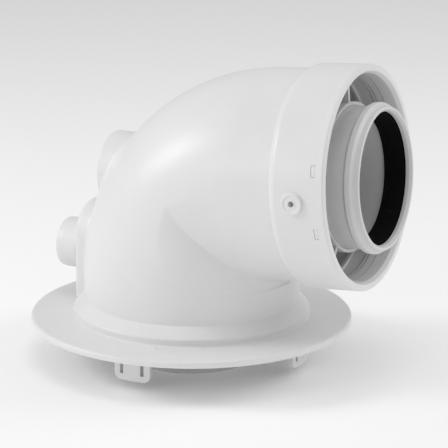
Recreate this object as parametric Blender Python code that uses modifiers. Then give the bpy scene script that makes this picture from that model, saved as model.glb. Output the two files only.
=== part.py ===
"""Flue elbow: a twin-wall elbow that turns a boiler's flue and air duct through a little under 90 degrees.

Metres, +Z up. The origin is on the upright duct's axis, at the underside of the mounting flange. The outlet
points along +X and rises by OUTLET_RISE. The test points are at the back, facing -X.
Positions along the outlet are distances from the point where its axis crosses the upright axis.
"""
import math

import bmesh
import bpy
from mathutils import Matrix, Vector

# Fits
GAP = 0.0003                 # between pieces that rest on each other
REACH = 0.010                # how far a cutter runs past the wall that it cuts
SEGMENTS = 48                # round the ducts and their rings
SMALL_SEGMENTS = 28          # round the test points

# Mounting flange
PLATE_RADIUS = 0.1035
PLATE_THICKNESS = 0.0044
PLATE_EDGE = 0.0012          # rounding of the plate's rim
PLATE_BORE = 0.0635
HUB_RADIUS = 0.076
HUB_FOOT = 0.0010            # fillet between plate and hub
HUB_EDGE_HEIGHT = 0.0088     # top of the hub's upright outer face
HUB_EDGE = 0.0008            # rounding above that face
HUB_TOP = 0.0157             # the hub slopes up from its edge and ends at the duct
HUB_LIP = 0.0006             # flat width at the top of that slope
HUB_GROOVE = (0.0060, 0.0090)
HUB_GROOVE_DEPTH = 0.0025
GASKET_THICKNESS = 0.0030
GASKET_MARGIN = 0.0005       # between the gasket and the plate's bore
GASKET_CLEARANCE = 0.0010    # between the gasket and the lugs
LUG_COUNT = 4
LUG_RADIUS = 0.079           # outer face of the lugs
LUG_THICKNESS = 0.0045
LUG_WIDTH = 0.025
LUG_DEPTH = 0.0196
LUG_CORNER = 0.0045
LUG_CORNER_STEPS = 4
SLOT_WIDTH = 0.0024
SLOT_SPACING = 0.0144        # between the two slots of a lug
SLOT_TOP = 0.0040            # below the plate
SLOT_BOTTOM = 0.0156

# Air duct: the outer wall
DUCT_RADIUS = 0.069
TUBE_RADIUS = 0.066
DUCT_WALL = 0.0028
DUCT_BEND_RADIUS = 0.070
OUTLET_HEIGHT = 0.0979       # where the outlet's axis crosses the upright axis
OUTLET_RISE = math.radians(4.0)
TUBE_END = 0.0935
BEND_STEPS = 12

# Socket collar, seal and retaining ring at the outlet
COLLAR_RADIUS = 0.069
COLLAR_START = 0.0864
COLLAR_EDGE = 0.0006
COLLAR_GROOVE = (0.0885, 0.0911)
COLLAR_GROOVE_DEPTH = 0.0012
COLLAR_END = 0.1192
RIM_END = 0.122
RIM_EDGE = 0.0010            # rounding of the mouth, outside
MOUTH_WIDENING = 0.0016      # the mouth flares by this much
MOUTH_LEAD = 0.0024          # over this length
SOCKET_BORE = 0.0633         # takes a 125 mm duct
SEAL_POCKET_RADIUS = 0.0661
SEAL_POCKET_START = 0.1045
SEAL_LIP_REACH = 0.0013      # how far the seal's lip stands into the bore
SEAL_LIP_START = 0.0022
SEAL_LIP_ROOT = 0.0012
DUCT_STOP_RADIUS = 0.0615
DUCT_STOP_END = 0.0965
SKIRT_START = 0.1118
WINDOW_ANGLES = (math.radians(14.5), math.radians(-17.0))   # above and below the sides
WINDOW_CENTRE = 0.1153
WINDOW_SIZE = (0.0028, 0.0070)
CATCH_MARGIN = 0.0004        # round the catch in its window
CATCH_DEPTH = 0.0034
CATCH_RECESS = 0.0008        # from the collar's surface to the catch
SCREW_BOSS_POSITION = 0.102
SCREW_BOSS_LEAN = math.radians(-1.6)     # just below the collar's widest point
SCREW_BOSS_RADIUS = 0.0067
SCREW_BOSS_HEIGHT = 0.0018
SCREW_HOLE_RADIUS = 0.0018
SCREW_HOLE_SEGMENTS = 16
BOSS_OVERLAP = 0.001         # a boss starts this far outside the pocket it must not reach

# Flue: the inner wall
FLUE_RADIUS = 0.040
FLUE_WALL = 0.0022
FLUE_BEND_RADIUS = 0.052
SPIGOT_RADIUS = 0.0414
SPIGOT_BOTTOM = -0.0252
SPIGOT_TOP = 0.006
SPIGOT_CHAMFER = 0.0012
SPIGOT_LEAD = 0.0025
FLUE_SOCKET_RADIUS = 0.0437
FLUE_SOCKET_BORE = 0.0406    # takes an 80 mm flue
FLUE_SOCKET_START = 0.090
FLUE_SOCKET_END = 0.1332
FLUE_SOCKET_TAPER = 0.005
FLUE_STOP_DEPTH = 0.002      # wall behind the socket's step
FLUE_MOUTH_WIDENING = 0.0012
FLUE_MOUTH_LEAD = 0.0018
BEAD_RADIUS = 0.0460
BEAD_GROOVE_RADIUS = 0.0441
BEAD = (0.1243, 0.1295)
BEAD_SLOPE = 0.0008
GROOVE_SLOPE = 0.0004
LIP_RADIUS = 0.0385
LIP_START = 0.1154
LIP_THICKNESS = 0.0012

# Spacers between flue and air duct
FIN_THICKNESS = 0.0024
FIN_STEP = 0.0004            # from the spacer ring's end to the fin's end
SPACER_WALL = 0.0020
OUTLET_FINS = 5
OUTLET_SPACER = (0.101, 0.111)
OUTLET_FIN_RADIUS = 0.0600
BASE_FINS = 4
BASE_SPACER = (0.012, 0.024)

# Test points at the back
PAD_BACK = -0.0747           # the pad's flat rear face
PAD_FRONT = -0.056           # inside the duct's wall
PAD_HALF_WIDTH = 0.0224
PAD_ARCH_CENTRE = 0.0483
PAD_SEAT = 0.0091            # lowest point, where the pad stands on the hub's slope
AIR_TEST_HEIGHT = 0.0389
CAP_RADIUS = 0.0165
CAP_BACK = -0.0932
CAP_FRONT = -0.0758
CAP_WALL = 0.003
CAP_EDGE = 0.0006
CAP_ROUND = 0.0022           # rounding of the cap's back
CAP_THREAD_START = 0.0030    # from the pad to the cap's narrower bore
NOZZLE_RADIUS = 0.009
NOZZLE_BORE = 0.006
NOZZLE_START = 0.0640        # inner end, inside the duct's wall
NOZZLE_COLLAR = 0.0020       # width and height of the collar on the pad
NOZZLE_BACK = 0.0882         # outer end, inside the cap
SEAL_THICKNESS = 0.0018
BOSS_BACK = -0.0565
BOSS_FRONT = -0.034          # inside the bend's wall, above
BOSS_HEIGHT = 0.0925
BOSS_RADIUS = 0.0248
BOSS_WALL = 0.003
PLUG_HEIGHT = 0.1010
PLUG_RADIUS = 0.0105
PLUG_DEPTH = 0.005
FLUE_NOZZLE_RADIUS = 0.0065
FLUE_NOZZLE_BORE = 0.0045
FLUE_NOZZLE_FRONT = -0.0185
PLUG_RECESS = 0.0005         # from the boss's face to the plug's face
PLUG_EDGE = 0.0005
PLUG_STEM_LENGTH = 0.0080
PLUG_STEM_CHAMFER = 0.0006
PLUG_SEAL_THICKNESS = 0.0014
PLUG_SLOT = (0.0022, 0.0140, 0.0030)

WHITE = (0.86, 0.87, 0.87, 1.0)
FLUE_WHITE = (0.80, 0.81, 0.81, 1.0)
BLACK = (0.012, 0.012, 0.013, 1.0)
GREY = (0.45, 0.46, 0.47, 1.0)

Y_AXIS = Vector((0, 1, 0))
OUTLET_AXIS = Vector((math.cos(OUTLET_RISE), 0, math.sin(OUTLET_RISE)))
OUTLET_UP = Vector((-math.sin(OUTLET_RISE), 0, math.cos(OUTLET_RISE)))
OUTLET_ORIGIN = Vector((0, 0, OUTLET_HEIGHT))
BEND_TURN = math.pi / 2 - OUTLET_RISE


def clear_scene():
    for item in list(bpy.data.objects):
        bpy.data.objects.remove(item)


def new_collection(name):
    collection = bpy.data.collections.new(name)
    bpy.context.scene.collection.children.link(collection)
    return collection


def new_material(name, colour, roughness):
    material = bpy.data.materials.new(name)
    material.use_nodes = True
    shader = material.node_tree.nodes["Principled BSDF"]
    shader.inputs["Base Color"].default_value = colour
    shader.inputs["Roughness"].default_value = roughness
    shader.inputs["Metallic"].default_value = 0.0
    return material


clear_scene()
PARTS = new_collection("flue_elbow")
CUTTERS = new_collection("cutters")


def new_object(name, mesh, material=None, collection=PARTS):
    piece = bpy.data.objects.new(name, mesh)
    collection.objects.link(piece)
    if material is not None:
        mesh.materials.append(material)
    else:
        piece.hide_render = True
        piece.display_type = "WIRE"
    return piece


def boolean(piece, tool, operation):
    cut = piece.modifiers.new(tool.name, "BOOLEAN")
    cut.object = tool
    cut.operation = operation
    cut.solver = "EXACT"


def mesh_from(bm, name, angle=35):
    bmesh.ops.recalc_face_normals(bm, faces=bm.faces)
    mesh = bpy.data.meshes.new(name)
    bm.to_mesh(mesh)
    bm.free()
    mesh.shade_smooth()
    mesh.set_sharp_from_angle(angle=math.radians(angle))
    return mesh


# Placing turned pieces: local +Z runs along the piece's axis

def along_upright():
    return Matrix.Identity(4)


def along_outlet():
    turn = Matrix.Rotation(math.pi / 2 - OUTLET_RISE, 4, "Y")
    return Matrix.Translation(OUTLET_ORIGIN) @ turn


def along_back(height):
    """Local +Z points to the back, along -X, from the upright axis at this height."""
    return Matrix.Translation((0, 0, height)) @ Matrix.Rotation(-math.pi / 2, 4, "Y")


def turned(name, profile, place, material=None, collection=PARTS, segments=SEGMENTS):
    """A closed profile of (radius, position) points turned about the local Z axis."""
    area = sum(a[0] * b[1] - b[0] * a[1] for a, b in zip(profile, profile[1:] + profile[:1]))
    points = list(profile) if area < 0 else list(reversed(profile))
    on_axis = [index for index, point in enumerate(points) if point[0] == 0]
    if on_axis:
        start = on_axis[0] if points[on_axis[0] - 1][0] == 0 else on_axis[-1]
        points = points[start:] + points[:start]
    bm = bmesh.new()
    verts = [bm.verts.new((radius, 0, position)) for radius, position in points]
    for first, second in zip(verts, verts[1:]):
        bm.edges.new((first, second))
    if not on_axis:
        bm.edges.new((verts[-1], verts[0]))
    mesh = bpy.data.meshes.new(name)
    bm.to_mesh(mesh)
    bm.free()
    piece = new_object(name, mesh, material, collection)
    piece.matrix_world = place
    screw = piece.modifiers.new("turn", "SCREW")
    screw.steps = segments
    screw.render_steps = segments
    screw.use_merge_vertices = True
    screw.merge_threshold = 0.00001
    screw.use_smooth_shade = True
    return piece


def rod(name, radius, start, end, place, segments=SMALL_SEGMENTS):
    """A plain round cutter along the local Z axis."""
    bm = bmesh.new()
    bmesh.ops.create_cone(bm, cap_ends=True, segments=segments, radius1=radius, radius2=radius,
                          depth=end - start)
    bmesh.ops.translate(bm, verts=bm.verts, vec=(0, 0, (start + end) / 2))
    tool = new_object(name, mesh_from(bm, name), None, CUTTERS)
    tool.matrix_world = place
    return tool


def block(name, size, place):
    bm = bmesh.new()
    bmesh.ops.create_cube(bm, size=1)
    bmesh.ops.scale(bm, verts=bm.verts, vec=size)
    tool = new_object(name, mesh_from(bm, name), None, CUTTERS)
    tool.matrix_world = place
    return tool


def loft(name, rings, material=None, collection=PARTS, closed=True):
    """A solid from sections that follow each other: round to the first again, or capped at both ends."""
    bm = bmesh.new()
    loops = [[bm.verts.new(point) for point in ring] for ring in rings]
    count = len(loops[0])
    followers = loops[1:] + loops[:1] if closed else loops[1:]
    for first, second in zip(loops, followers):
        for index in range(count):
            following = (index + 1) % count
            bm.faces.new((first[index], first[following], second[following], second[index]))
    if not closed:
        bm.faces.new(loops[0])
        bm.faces.new(loops[-1])
    return new_object(name, mesh_from(bm, name), material, collection)


def section(centre, outward, radii):
    """Points round a centre in the plane of `outward` and Y; the first lies on the inner side of the bend."""
    count = len(radii)
    points = []
    for index, radius in enumerate(radii):
        angle = 2 * math.pi * index / count
        points.append(centre + radius * (math.sin(angle) * Y_AXIS - math.cos(angle) * outward))
    return points


def upright_ring(height, radius):
    return section(Vector((0, 0, height)), Vector((-1, 0, 0)), [radius] * SEGMENTS)


def outlet_ring(position, radius):
    return section(OUTLET_ORIGIN + position * OUTLET_AXIS, OUTLET_UP, [radius] * SEGMENTS)


def bend_centre(bend_radius):
    """The point of the bend's axis at Y 0, equally far from the upright axis and the outlet axis."""
    drop = bend_radius * (1 - math.sin(OUTLET_RISE)) / math.cos(OUTLET_RISE)
    return Vector((bend_radius, 0, OUTLET_HEIGHT - drop))


def reach_in_cylinder(offset, slope, side, radius):
    """Distance along a ray from a point `offset` off a cylinder's axis until it leaves the cylinder."""
    a = slope * slope + side * side
    b = offset * slope
    inside = b * b - a * (offset * offset - radius * radius)
    if a == 0 or inside < 0:
        return 0.0
    return (-b + math.sqrt(inside)) / a


def duct_bend_ring(turn, upright_radius, outlet_radius):
    """The duct's section: a round sweep outside, and where the two tubes cross, their mitre, inside.

    The outlet's tube narrows from the upright's radius as the sweep does, so the mitre starts at the sides.
    """
    outward = Vector((-math.cos(turn), 0, math.sin(turn)))
    centre = bend_centre(DUCT_BEND_RADIUS) + DUCT_BEND_RADIUS * outward
    share = turn / BEND_TURN
    sweep = upright_radius + (outlet_radius - upright_radius) * share
    below_outlet = (centre - OUTLET_ORIGIN).dot(OUTLET_UP)
    radii = []
    for index in range(SEGMENTS):
        angle = 2 * math.pi * index / SEGMENTS
        side = math.sin(angle)
        inward = -math.cos(angle) * outward
        in_upright = reach_in_cylinder(centre.x, inward.x, side, upright_radius)
        in_outlet = reach_in_cylinder(below_outlet, inward.dot(OUTLET_UP), side, sweep)
        radii.append(min(sweep, max(in_upright, in_outlet)))
    return section(centre, outward, radii)


def flue_bend_ring(turn, radius):
    outward = Vector((-math.cos(turn), 0, math.sin(turn)))
    centre = bend_centre(FLUE_BEND_RADIUS) + FLUE_BEND_RADIUS * outward
    return section(centre, outward, [radius] * SEGMENTS)


def bend_turns():
    return [BEND_TURN * step / BEND_STEPS for step in range(BEND_STEPS + 1)]


def arch_block(name, half_width, arch_height, bottom, back, front, collection=CUTTERS):
    """A pad with an arched top: an outline in the YZ plane, extruded between two X positions."""
    outline = [(-half_width, bottom)]
    steps = SMALL_SEGMENTS // 2
    for step in range(steps + 1):
        angle = math.pi - math.pi * step / steps
        outline.append((half_width * math.cos(angle), arch_height + half_width * math.sin(angle)))
    outline.append((half_width, bottom))
    bm = bmesh.new()
    face = bm.faces.new([bm.verts.new((back, y, z)) for y, z in outline])
    sides = bmesh.ops.extrude_face_region(bm, geom=[face])["geom"]
    moved = [item for item in sides if isinstance(item, bmesh.types.BMVert)]
    bmesh.ops.translate(bm, verts=moved, vec=(front - back, 0, 0))
    return new_object(name, mesh_from(bm, name), None, collection)


# Sub-parts

def make_mounting_flange(material):
    fit = DUCT_RADIUS + GAP
    groove = DUCT_RADIUS + HUB_GROOVE_DEPTH
    profile = [(PLATE_BORE, 0), (PLATE_RADIUS - PLATE_EDGE, 0), (PLATE_RADIUS, PLATE_EDGE),
               (PLATE_RADIUS, PLATE_THICKNESS - PLATE_EDGE),
               (PLATE_RADIUS - PLATE_EDGE, PLATE_THICKNESS),
               (HUB_RADIUS + HUB_FOOT, PLATE_THICKNESS), (HUB_RADIUS, PLATE_THICKNESS + HUB_FOOT),
               (HUB_RADIUS, HUB_EDGE_HEIGHT - HUB_EDGE), (HUB_RADIUS - HUB_EDGE, HUB_EDGE_HEIGHT),
               (fit + HUB_LIP, HUB_TOP), (fit, HUB_TOP),
               (fit, HUB_GROOVE[1]), (groove, HUB_GROOVE[1]), (groove, HUB_GROOVE[0]),
               (fit, HUB_GROOVE[0]), (fit, PLATE_THICKNESS), (PLATE_BORE, PLATE_THICKNESS)]
    flange = turned("mounting_flange", profile, along_upright(), material)
    for number in range(LUG_COUNT):
        turn = Matrix.Rotation(2 * math.pi * number / LUG_COUNT, 4, "Z")
        boolean(flange, make_lug(number, turn), "UNION")
        for side in (-1, 1):
            height = SLOT_BOTTOM - SLOT_TOP
            place = turn @ Matrix.Translation((LUG_RADIUS - LUG_THICKNESS / 2, side * SLOT_SPACING / 2,
                                               -SLOT_TOP - height / 2))
            slot = block(f"lug_slot_{number}_{side}", (3 * LUG_THICKNESS, SLOT_WIDTH, height), place)
            boolean(flange, slot, "DIFFERENCE")
    return flange


def make_lug(number, turn):
    """A lug hangs below the plate and reaches a little into it, so that the two join."""
    bite = PLATE_THICKNESS / 2
    bm = bmesh.new()
    bmesh.ops.create_cube(bm, size=1)
    bmesh.ops.scale(bm, verts=bm.verts, vec=(LUG_THICKNESS, LUG_WIDTH, LUG_DEPTH + bite))
    lower = [edge for edge in bm.edges
             if all(vert.co.z < 0 for vert in edge.verts) and edge.verts[0].co.y == edge.verts[1].co.y]
    bmesh.ops.bevel(bm, geom=lower, offset=LUG_CORNER, segments=LUG_CORNER_STEPS, profile=0.5, affect="EDGES")
    lug = new_object(f"lug_{number}", mesh_from(bm, f"lug_{number}"), None, CUTTERS)
    lug.matrix_world = turn @ Matrix.Translation((LUG_RADIUS - LUG_THICKNESS / 2, 0,
                                                  (bite - LUG_DEPTH) / 2))
    return lug


def make_flange_gasket(material):
    inner = PLATE_BORE + GASKET_MARGIN
    outer = LUG_RADIUS - LUG_THICKNESS - GASKET_CLEARANCE
    top, bottom = -GAP, -GAP - GASKET_THICKNESS
    profile = [(inner, top), (outer, top), (outer, bottom), (inner, bottom)]
    return turned("flange_gasket", profile, along_upright(), material)


def make_groove_seal(name, radius, groove_depth, groove, place, material):
    """A ring that lies in a groove, round the tube of this radius."""
    inner, outer = radius + GAP, radius + groove_depth - GAP
    start, end = groove[0] + GAP, groove[1] - GAP
    profile = [(inner, start), (outer, start), (outer, end), (inner, end)]
    return turned(name, profile, place, material)


def duct_rings(inset):
    """The air duct's sections from end to end, a constant distance inside its outer surface."""
    upright, outlet = DUCT_RADIUS - inset, TUBE_RADIUS - inset
    rings = [upright_ring(PLATE_THICKNESS + GAP, upright)]
    rings += [duct_bend_ring(turn, upright, outlet) for turn in bend_turns()]
    rings += [outlet_ring(TUBE_END, outlet)]
    return rings


def hub_clearance():
    """A cutter a little larger than the hub's slope, so that what stands on the hub keeps clear of it."""
    fit = DUCT_RADIUS + GAP
    profile = [(0, 0), (HUB_RADIUS + GAP, 0), (HUB_RADIUS + GAP, HUB_EDGE_HEIGHT - HUB_EDGE + GAP),
               (HUB_RADIUS - HUB_EDGE + GAP, HUB_EDGE_HEIGHT + GAP),
               (fit + HUB_LIP + GAP, HUB_TOP + 2 * GAP), (0, HUB_TOP + 2 * GAP)]
    return turned("hub_clearance", profile, along_upright(), None, CUTTERS)


def make_air_duct_elbow(material):
    elbow = loft("air_duct_elbow", duct_rings(0) + duct_rings(DUCT_WALL)[::-1], material)
    core = loft("duct_core", duct_rings(DUCT_WALL / 2), None, CUTTERS, closed=False)
    pad = arch_block("pad", PAD_HALF_WIDTH, PAD_ARCH_CENTRE, PAD_SEAT, PAD_BACK, PAD_FRONT)
    boolean(pad, core, "DIFFERENCE")
    boolean(pad, hub_clearance(), "DIFFERENCE")
    boolean(elbow, pad, "UNION")
    boss = rod("boss", BOSS_RADIUS, -BOSS_FRONT, -BOSS_BACK, along_back(BOSS_HEIGHT))
    boolean(boss, core, "DIFFERENCE")
    hollow_back = -BOSS_BACK - PLUG_DEPTH - BOSS_WALL
    hollow = rod("boss_hollow", BOSS_RADIUS - BOSS_WALL, -BOSS_FRONT, hollow_back, along_back(BOSS_HEIGHT))
    boolean(elbow, boss, "UNION")
    boolean(elbow, hollow, "DIFFERENCE")
    recess = rod("plug_recess", PLUG_RADIUS + GAP, -BOSS_BACK - PLUG_DEPTH, -BOSS_BACK + REACH,
                 along_back(PLUG_HEIGHT))
    boolean(elbow, recess, "DIFFERENCE")
    passage = rod("flue_nozzle_hole", FLUE_NOZZLE_RADIUS + GAP, -BOSS_FRONT, -BOSS_BACK + REACH,
                  along_back(PLUG_HEIGHT))
    boolean(elbow, passage, "DIFFERENCE")
    hole = rod("air_nozzle_hole", NOZZLE_RADIUS + GAP, -PAD_FRONT - GAP, -PAD_BACK + REACH,
               along_back(AIR_TEST_HEIGHT))
    boolean(elbow, hole, "DIFFERENCE")
    return elbow


def window_angles():
    """Angles round the outlet of the collar's windows, two on each side."""
    return [side * (math.pi / 2 + lean) for side in (-1, 1) for lean in WINDOW_ANGLES]


def make_socket_collar(material):
    over_tube = TUBE_RADIUS + GAP
    groove = TUBE_RADIUS + COLLAR_GROOVE_DEPTH
    profile = [(over_tube, COLLAR_START), (COLLAR_RADIUS - COLLAR_EDGE, COLLAR_START),
               (COLLAR_RADIUS, COLLAR_START + COLLAR_EDGE), (COLLAR_RADIUS, COLLAR_END),
               (SEAL_POCKET_RADIUS, COLLAR_END), (SEAL_POCKET_RADIUS, SEAL_POCKET_START),
               (SOCKET_BORE, SEAL_POCKET_START), (SOCKET_BORE, DUCT_STOP_END),
               (DUCT_STOP_RADIUS, DUCT_STOP_END), (DUCT_STOP_RADIUS, TUBE_END + GAP),
               (over_tube, TUBE_END + GAP), (over_tube, COLLAR_GROOVE[1]), (groove, COLLAR_GROOVE[1]),
               (groove, COLLAR_GROOVE[0]), (over_tube, COLLAR_GROOVE[0])]
    collar = turned("socket_collar", profile, along_outlet(), material)
    for side in (-1, 1):
        angle = side * (math.pi / 2 + SCREW_BOSS_LEAN)
        face = Matrix.Rotation(angle, 4, "Z") @ Matrix.Rotation(math.pi / 2, 4, "Y")
        place = along_outlet() @ Matrix.Translation((0, 0, SCREW_BOSS_POSITION)) @ face
        boss = rod(f"screw_boss_{side}", SCREW_BOSS_RADIUS, SEAL_POCKET_RADIUS + BOSS_OVERLAP,
                   COLLAR_RADIUS + SCREW_BOSS_HEIGHT, place)
        boolean(collar, boss, "UNION")
        hole = rod(f"screw_hole_{side}", SCREW_HOLE_RADIUS, SOCKET_BORE - REACH, COLLAR_RADIUS + REACH,
                   place, SCREW_HOLE_SEGMENTS)
        boolean(collar, hole, "DIFFERENCE")
    for number, angle in enumerate(window_angles()):
        spot = Matrix.Rotation(angle, 4, "Z") @ Matrix.Translation((COLLAR_RADIUS, 0, WINDOW_CENTRE))
        window = block(f"window_{number}", (REACH, WINDOW_SIZE[1], WINDOW_SIZE[0]), along_outlet() @ spot)
        boolean(collar, window, "DIFFERENCE")
    return collar


def make_seal_retainer_ring(material):
    skirt = SEAL_POCKET_RADIUS - GAP
    start = COLLAR_END + GAP
    profile = [(SOCKET_BORE, SKIRT_START), (skirt, SKIRT_START), (skirt, start), (COLLAR_RADIUS, start),
               (COLLAR_RADIUS, RIM_END - RIM_EDGE), (COLLAR_RADIUS - RIM_EDGE, RIM_END),
               (SOCKET_BORE + MOUTH_WIDENING, RIM_END), (SOCKET_BORE, RIM_END - MOUTH_LEAD)]
    ring = turned("seal_retainer_ring", profile, along_outlet(), material)
    size = (CATCH_DEPTH, WINDOW_SIZE[1] - 2 * CATCH_MARGIN, WINDOW_SIZE[0] - 2 * CATCH_MARGIN)
    spot = Matrix.Translation((COLLAR_RADIUS - CATCH_RECESS - CATCH_DEPTH / 2, 0, WINDOW_CENTRE))
    for number, angle in enumerate(window_angles()):
        catch = block(f"catch_{number}", size, along_outlet() @ Matrix.Rotation(angle, 4, "Z") @ spot)
        boolean(ring, catch, "UNION")
    return ring


def make_air_duct_seal(material):
    outer = SEAL_POCKET_RADIUS - GAP
    start, end = SEAL_POCKET_START + GAP, SKIRT_START - GAP
    profile = [(SOCKET_BORE, start), (outer, start), (outer, end), (SOCKET_BORE, end),
               (SOCKET_BORE - SEAL_LIP_REACH, start + SEAL_LIP_START),
               (SOCKET_BORE - SEAL_LIP_REACH, start + SEAL_LIP_ROOT)]
    return turned("air_duct_seal", profile, along_outlet(), material)


def make_flue_elbow(material):
    bore = FLUE_RADIUS - FLUE_WALL
    spigot_bore = SPIGOT_RADIUS - FLUE_WALL
    turns = bend_turns()
    outside = [upright_ring(SPIGOT_BOTTOM, SPIGOT_RADIUS - SPIGOT_CHAMFER),
               upright_ring(SPIGOT_BOTTOM + SPIGOT_LEAD, SPIGOT_RADIUS),
               upright_ring(SPIGOT_TOP, SPIGOT_RADIUS),
               upright_ring(SPIGOT_TOP + SPIGOT_LEAD, FLUE_RADIUS)]
    outside += [flue_bend_ring(turn, FLUE_RADIUS) for turn in turns]
    outside += [outlet_ring(FLUE_SOCKET_START - FLUE_SOCKET_TAPER, FLUE_RADIUS),
                outlet_ring(FLUE_SOCKET_START, FLUE_SOCKET_RADIUS),
                outlet_ring(BEAD[0], FLUE_SOCKET_RADIUS),
                outlet_ring(BEAD[0] + BEAD_SLOPE, BEAD_RADIUS),
                outlet_ring(BEAD[1] - BEAD_SLOPE, BEAD_RADIUS),
                outlet_ring(BEAD[1], FLUE_SOCKET_RADIUS),
                outlet_ring(FLUE_SOCKET_END, FLUE_SOCKET_RADIUS)]
    inside = [outlet_ring(FLUE_SOCKET_END, FLUE_SOCKET_BORE + FLUE_MOUTH_WIDENING),
              outlet_ring(FLUE_SOCKET_END - FLUE_MOUTH_LEAD, FLUE_SOCKET_BORE),
              outlet_ring(BEAD[1] - GROOVE_SLOPE, FLUE_SOCKET_BORE),
              outlet_ring(BEAD[1] - BEAD_SLOPE, BEAD_GROOVE_RADIUS),
              outlet_ring(BEAD[0] + BEAD_SLOPE, BEAD_GROOVE_RADIUS),
              outlet_ring(BEAD[0] + GROOVE_SLOPE, FLUE_SOCKET_BORE),
              outlet_ring(FLUE_SOCKET_START + FLUE_STOP_DEPTH, FLUE_SOCKET_BORE),
              outlet_ring(FLUE_SOCKET_START + FLUE_STOP_DEPTH, bore)]
    inside += [flue_bend_ring(turn, bore) for turn in turns[::-1]]
    inside += [upright_ring(SPIGOT_TOP + SPIGOT_LEAD, bore),
               upright_ring(SPIGOT_TOP, spigot_bore),
               upright_ring(SPIGOT_BOTTOM, spigot_bore)]
    elbow = loft("flue_elbow", outside + inside, material)
    hole = rod("flue_test_hole", FLUE_NOZZLE_RADIUS + GAP, 0, FLUE_RADIUS + REACH, along_back(PLUG_HEIGHT))
    boolean(elbow, hole, "DIFFERENCE")
    return elbow


def make_flue_lip_seal(material):
    outer = BEAD_GROOVE_RADIUS - GAP
    body = FLUE_SOCKET_BORE - GAP
    start, end = BEAD[0] + BEAD_SLOPE + GAP, BEAD[1] - BEAD_SLOPE - GAP
    profile = [(body, start), (outer, start), (outer, end), (body, end), (LIP_RADIUS + LIP_THICKNESS, end),
               (LIP_RADIUS, LIP_START), (LIP_RADIUS + LIP_THICKNESS, LIP_START)]
    return turned("flue_lip_seal", profile, along_outlet(), material)


def make_spacer(name, inner, tip, span, fins, first_angle, place, material):
    """A ring on the flue with radial fins that reach out to the air duct."""
    outer = inner + SPACER_WALL
    profile = [(inner, span[0]), (outer, span[0]), (outer, span[1]), (inner, span[1])]
    spacer = turned(name, profile, place, material)
    for number in range(fins):
        angle = first_angle + 2 * math.pi * number / fins
        start = inner + SPACER_WALL / 2
        spot = Matrix.Translation(((start + tip) / 2, 0, (span[0] + span[1]) / 2))
        size = (tip - start, FIN_THICKNESS, span[1] - span[0] - 2 * FIN_STEP)
        fin = block(f"{name}_fin_{number}", size, place @ Matrix.Rotation(angle, 4, "Z") @ spot)
        boolean(spacer, fin, "UNION")
    return spacer


def make_spacers(material):
    make_spacer("outlet_spacer", FLUE_SOCKET_RADIUS + GAP, OUTLET_FIN_RADIUS, OUTLET_SPACER,
                OUTLET_FINS, math.pi, along_outlet(), material)
    make_spacer("base_spacer", FLUE_RADIUS + GAP, DUCT_RADIUS - DUCT_WALL - 2 * GAP, BASE_SPACER,
                BASE_FINS, math.pi / 4, along_upright(), material)


def make_air_test_point(white, black):
    place = along_back(AIR_TEST_HEIGHT)
    pad, tip = -PAD_BACK, NOZZLE_BACK
    wide = NOZZLE_RADIUS + NOZZLE_COLLAR
    nozzle = [(NOZZLE_BORE, NOZZLE_START), (NOZZLE_RADIUS, NOZZLE_START), (NOZZLE_RADIUS, pad + GAP),
              (wide, pad + GAP), (wide, pad + NOZZLE_COLLAR), (NOZZLE_RADIUS, pad + NOZZLE_COLLAR),
              (NOZZLE_RADIUS, tip), (NOZZLE_BORE, tip)]
    turned("air_test_nozzle", nozzle, place, white, segments=SMALL_SEGMENTS)
    inner, outer = NOZZLE_BORE + GAP, NOZZLE_RADIUS - GAP
    ring = [(inner, tip + GAP), (outer, tip + GAP), (outer, tip + SEAL_THICKNESS),
            (inner, tip + SEAL_THICKNESS)]
    turned("air_test_seal_ring", ring, place, black, segments=SMALL_SEGMENTS)
    front, back = -CAP_FRONT, -CAP_BACK
    floor = tip + SEAL_THICKNESS + GAP
    mouth, thread = NOZZLE_RADIUS + CAP_WALL, NOZZLE_RADIUS + GAP
    step = pad + CAP_THREAD_START
    shoulder = CAP_ROUND * (1 - math.sqrt(0.5))
    cap = [(mouth, front), (CAP_RADIUS - CAP_EDGE, front), (CAP_RADIUS, front + CAP_EDGE),
           (CAP_RADIUS, back - CAP_ROUND), (CAP_RADIUS - shoulder, back - shoulder),
           (CAP_RADIUS - CAP_ROUND, back), (0, back), (0, floor), (thread, floor), (thread, step),
           (mouth, step)]
    turned("air_test_cap", cap, place, white, segments=SMALL_SEGMENTS)


def make_flue_test_point(white, flue_white, black):
    place = along_back(PLUG_HEIGHT)
    seat = -BOSS_BACK - PLUG_DEPTH
    nozzle = [(FLUE_NOZZLE_BORE, -FLUE_NOZZLE_FRONT), (FLUE_NOZZLE_RADIUS, -FLUE_NOZZLE_FRONT),
              (FLUE_NOZZLE_RADIUS, seat), (FLUE_NOZZLE_BORE, seat)]
    turned("flue_test_nozzle", nozzle, place, flue_white, segments=SMALL_SEGMENTS)
    inner, outer = FLUE_NOZZLE_RADIUS + 2 * GAP, PLUG_RADIUS - GAP
    top = seat + PLUG_SEAL_THICKNESS
    ring = [(inner, seat + GAP), (outer, seat + GAP), (outer, top), (inner, top)]
    turned("flue_test_seal_ring", ring, place, black, segments=SMALL_SEGMENTS)
    face = -BOSS_BACK - PLUG_RECESS
    stem = FLUE_NOZZLE_BORE - GAP
    end = seat - PLUG_STEM_LENGTH
    plug = [(0, face), (0, end), (stem - PLUG_STEM_CHAMFER, end), (stem, end + PLUG_STEM_CHAMFER),
            (stem, top + GAP), (PLUG_RADIUS, top + GAP), (PLUG_RADIUS, face - PLUG_EDGE),
            (PLUG_RADIUS - PLUG_EDGE, face)]
    piece = turned("flue_test_plug", plug, place, white, segments=SMALL_SEGMENTS)
    slot = block("plug_slot", PLUG_SLOT, place @ Matrix.Translation((0, 0, face)))
    boolean(piece, slot, "DIFFERENCE")


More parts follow.
